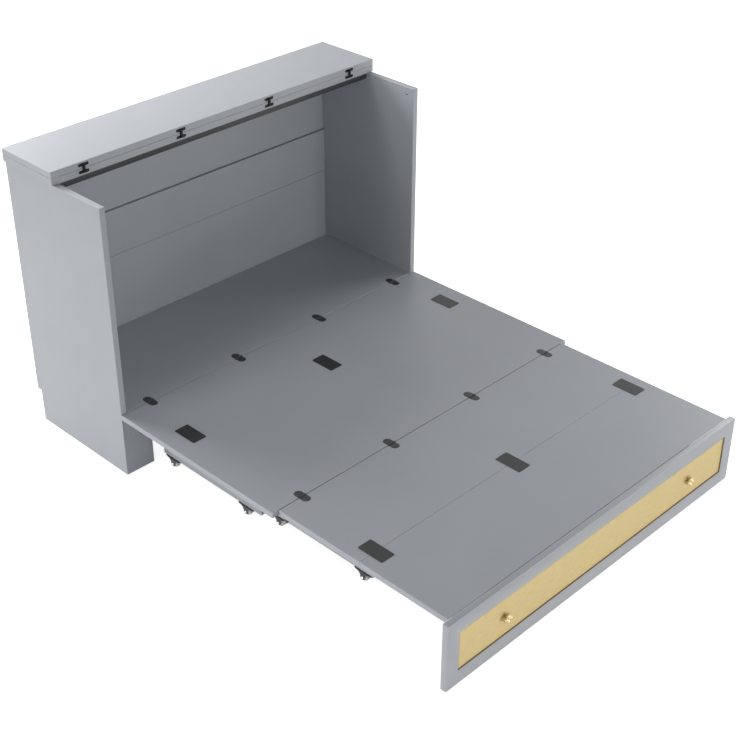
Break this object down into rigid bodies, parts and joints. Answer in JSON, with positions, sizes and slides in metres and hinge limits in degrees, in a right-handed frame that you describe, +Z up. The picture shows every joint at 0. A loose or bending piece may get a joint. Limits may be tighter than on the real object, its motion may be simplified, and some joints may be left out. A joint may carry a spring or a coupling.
{
  "type": "cabinet bed",
  "caption": "Low cabinet whose fold-back lid, folding deck leaves and roll-out foot panel on nested caster frames open into a full-size bed platform.",
  "frame": {"origin": "on the floor, on the bed's middle plane, halfway between the front of the foot panel's knobs and the cabinet's rear face, with the bed open", "axes": "+X across the bed to the right as seen from its foot, +Y along the bed from the foot to the cabinet, +Z up"},
  "size_m": [1.46, 2.015, 1.0663],
  "materials": {
    "grey_board": "satin grey paint on board",
    "cane": "fine woven cane, matt",
    "black_metal": "satin black",
    "dark_steel": "dark zinc",
    "bright_steel": "plain steel",
    "brass": "polished",
    "pad_rubber": "matt rubber",
    "wheel_plastic": "pale nylon"
  },
  "bodies": {
    "cabinet": {"side_panel_left": "grey_board", "side_panel_right": "grey_board", "back_plank_lower": "grey_board", "back_plank_middle": "grey_board", "back_plank_upper": "grey_board", "rear_deck": "grey_board", "front_stiles": "grey_board", "bay_guides": "grey_board", "support_cleats": "grey_board", "lid_rear_half": "grey_board", "lid_stiffener": "black_metal", "lid_hinge_cups_rear": "black_metal", "head_hinge_leaves": "black_metal", "head_hinge_pins": "bright_steel"},
    "lid_front": {"lid_front_half": "grey_board", "lid_hinge_cups_front": "black_metal"},
    "lid_links": {"lid_hinge_links": "black_metal"},
    "mid_leaf": {"mid_deck": "grey_board", "mid_hinge_leaves": "black_metal", "foot_hinge_pins": "bright_steel", "grip_pads_mid": "pad_rubber"},
    "foot_leaf": {"foot_deck_inner_board": "grey_board", "foot_deck_outer_board": "grey_board", "foot_deck_battens": "grey_board", "foot_hinge_leaves": "black_metal", "grip_pads_foot": "pad_rubber", "bolt_housings": "black_metal"},
    "bolt_left": {"lock_bolt_left": "bright_steel"},
    "bolt_right": {"lock_bolt_right": "bright_steel"},
    "drawer": {"foot_panel_rails": "grey_board", "foot_panel_stiles": "grey_board", "cane_inset": "cane", "inset_backing": "grey_board", "knobs": "brass", "drawer_sides": "grey_board", "drawer_back": "grey_board", "drawer_bottom": "grey_board", "drawer_tow_lugs": "dark_steel", "drawer_caster_forks": "dark_steel"},
    "middle_frame": {"middle_frame_sides": "grey_board", "middle_frame_back": "grey_board", "middle_frame_fittings": "dark_steel", "middle_caster_forks": "dark_steel"},
    "rear_frame": {"rear_frame_sides": "grey_board", "rear_frame_back": "grey_board", "rear_frame_stops": "dark_steel", "rear_caster_forks": "dark_steel"},
    "drawer_wheel_1": {"drawer_wheel_1": "wheel_plastic"},
    "drawer_wheel_2": {"drawer_wheel_2": "wheel_plastic"},
    "drawer_wheel_3": {"drawer_wheel_3": "wheel_plastic"},
    "drawer_wheel_4": {"drawer_wheel_4": "wheel_plastic"},
    "middle_wheel_1": {"middle_wheel_1": "wheel_plastic"},
    "middle_wheel_2": {"middle_wheel_2": "wheel_plastic"},
    "middle_wheel_3": {"middle_wheel_3": "wheel_plastic"},
    "middle_wheel_4": {"middle_wheel_4": "wheel_plastic"},
    "rear_wheel_1": {"rear_wheel_1": "wheel_plastic"},
    "rear_wheel_2": {"rear_wheel_2": "wheel_plastic"},
    "rear_wheel_3": {"rear_wheel_3": "wheel_plastic"},
    "rear_wheel_4": {"rear_wheel_4": "wheel_plastic"}
  },
  "joints": [
    {"name": "lid_fold", "type": "hinge", "parent": "cabinet", "child": "lid_front", "pos_m": [0, 0.7315, 1.0423], "axis": [1, 0, 0], "range_deg": [0, 180]},
    {"name": "lid_link_turn", "type": "hinge", "parent": "cabinet", "child": "lid_links", "pos_m": [0, 0.7315, 1.0423], "axis": [1, 0, 0], "range_deg": [0, 90]},
    {"name": "deck_lift", "type": "hinge", "parent": "cabinet", "child": "mid_leaf", "pos_m": [0, 0.4915, 0.251], "axis": [-1, 0, 0], "range_deg": [0, 90]},
    {"name": "foot_fold", "type": "hinge", "parent": "mid_leaf", "child": "foot_leaf", "pos_m": [0, -0.2695, 0.251], "axis": [-1, 0, 0], "range_deg": [0, 180]},
    {"name": "bolt_left_slide", "type": "slide", "parent": "foot_leaf", "child": "bolt_left", "axis": [-1, 0, 0], "range_m": [0, 0.012]},
    {"name": "bolt_right_slide", "type": "slide", "parent": "foot_leaf", "child": "bolt_right", "axis": [1, 0, 0], "range_m": [0, 0.012]},
    {"name": "drawer_roll", "type": "slide", "parent": "cabinet", "child": "drawer", "axis": [0, 1, 0], "range_m": [0, 1.458]},
    {"name": "middle_frame_roll", "type": "slide", "parent": "cabinet", "child": "middle_frame", "axis": [0, 1, 0], "range_m": [0, 1.018]},
    {"name": "rear_frame_roll", "type": "slide", "parent": "cabinet", "child": "rear_frame", "axis": [0, 1, 0], "range_m": [0, 0.538]},
    {"name": "drawer_wheel_1_spin", "type": "hinge", "parent": "drawer", "child": "drawer_wheel_1", "pos_m": [-0.497, -0.6095, 0.016], "axis": [1, 0, 0], "continuous": true},
    {"name": "drawer_wheel_2_spin", "type": "hinge", "parent": "drawer", "child": "drawer_wheel_2", "pos_m": [0.497, -0.6095, 0.016], "axis": [1, 0, 0], "continuous": true},
    {"name": "drawer_wheel_3_spin", "type": "hinge", "parent": "drawer", "child": "drawer_wheel_3", "pos_m": [-0.497, -0.8985, 0.016], "axis": [1, 0, 0], "continuous": true},
    {"name": "drawer_wheel_4_spin", "type": "hinge", "parent": "drawer", "child": "drawer_wheel_4", "pos_m": [0.497, -0.8985, 0.016], "axis": [1, 0, 0], "continuous": true},
    {"name": "middle_wheel_1_spin", "type": "hinge", "parent": "middle_frame", "child": "middle_wheel_1", "pos_m": [-0.534, -0.0905, 0.016], "axis": [1, 0, 0], "continuous": true},
    {"name": "middle_wheel_2_spin", "type": "hinge", "parent": "middle_frame", "child": "middle_wheel_2", "pos_m": [0.534, -0.0905, 0.016], "axis": [1, 0, 0], "continuous": true},
    {"name": "middle_wheel_3_spin", "type": "hinge", "parent": "middle_frame", "child": "middle_wheel_3", "pos_m": [-0.534, -0.4805, 0.016], "axis": [1, 0, 0], "continuous": true},
    {"name": "middle_wheel_4_spin", "type": "hinge", "parent": "middle_frame", "child": "middle_wheel_4", "pos_m": [0.534, -0.4805, 0.016], "axis": [1, 0, 0], "continuous": true},
    {"name": "rear_wheel_1_spin", "type": "hinge", "parent": "rear_frame", "child": "rear_wheel_1", "pos_m": [-0.571, 0.4145, 0.016], "axis": [1, 0, 0], "continuous": true},
    {"name": "rear_wheel_2_spin", "type": "hinge", "parent": "rear_frame", "child": "rear_wheel_2", "pos_m": [0.571, 0.4145, 0.016], "axis": [1, 0, 0], "continuous": true},
    {"name": "rear_wheel_3_spin", "type": "hinge", "parent": "rear_frame", "child": "rear_wheel_3", "pos_m": [-0.571, 0.0305, 0.016], "axis": [1, 0, 0], "continuous": true},
    {"name": "rear_wheel_4_spin", "type": "hinge", "parent": "rear_frame", "child": "rear_wheel_4", "pos_m": [0.571, 0.0305, 0.016], "axis": [1, 0, 0], "continuous": true}
  ],
  "couplings": [
    {"joint": "lid_link_turn", "follows": "lid_fold", "ratio": 0.5},
    {"joint": "drawer_roll", "follows": "deck_lift", "m_per_rad": 0.9281},
    {"joint": "middle_frame_roll", "follows": "deck_lift", "m_per_rad": 0.648},
    {"joint": "rear_frame_roll", "follows": "deck_lift", "m_per_rad": 0.3425}
  ]
}
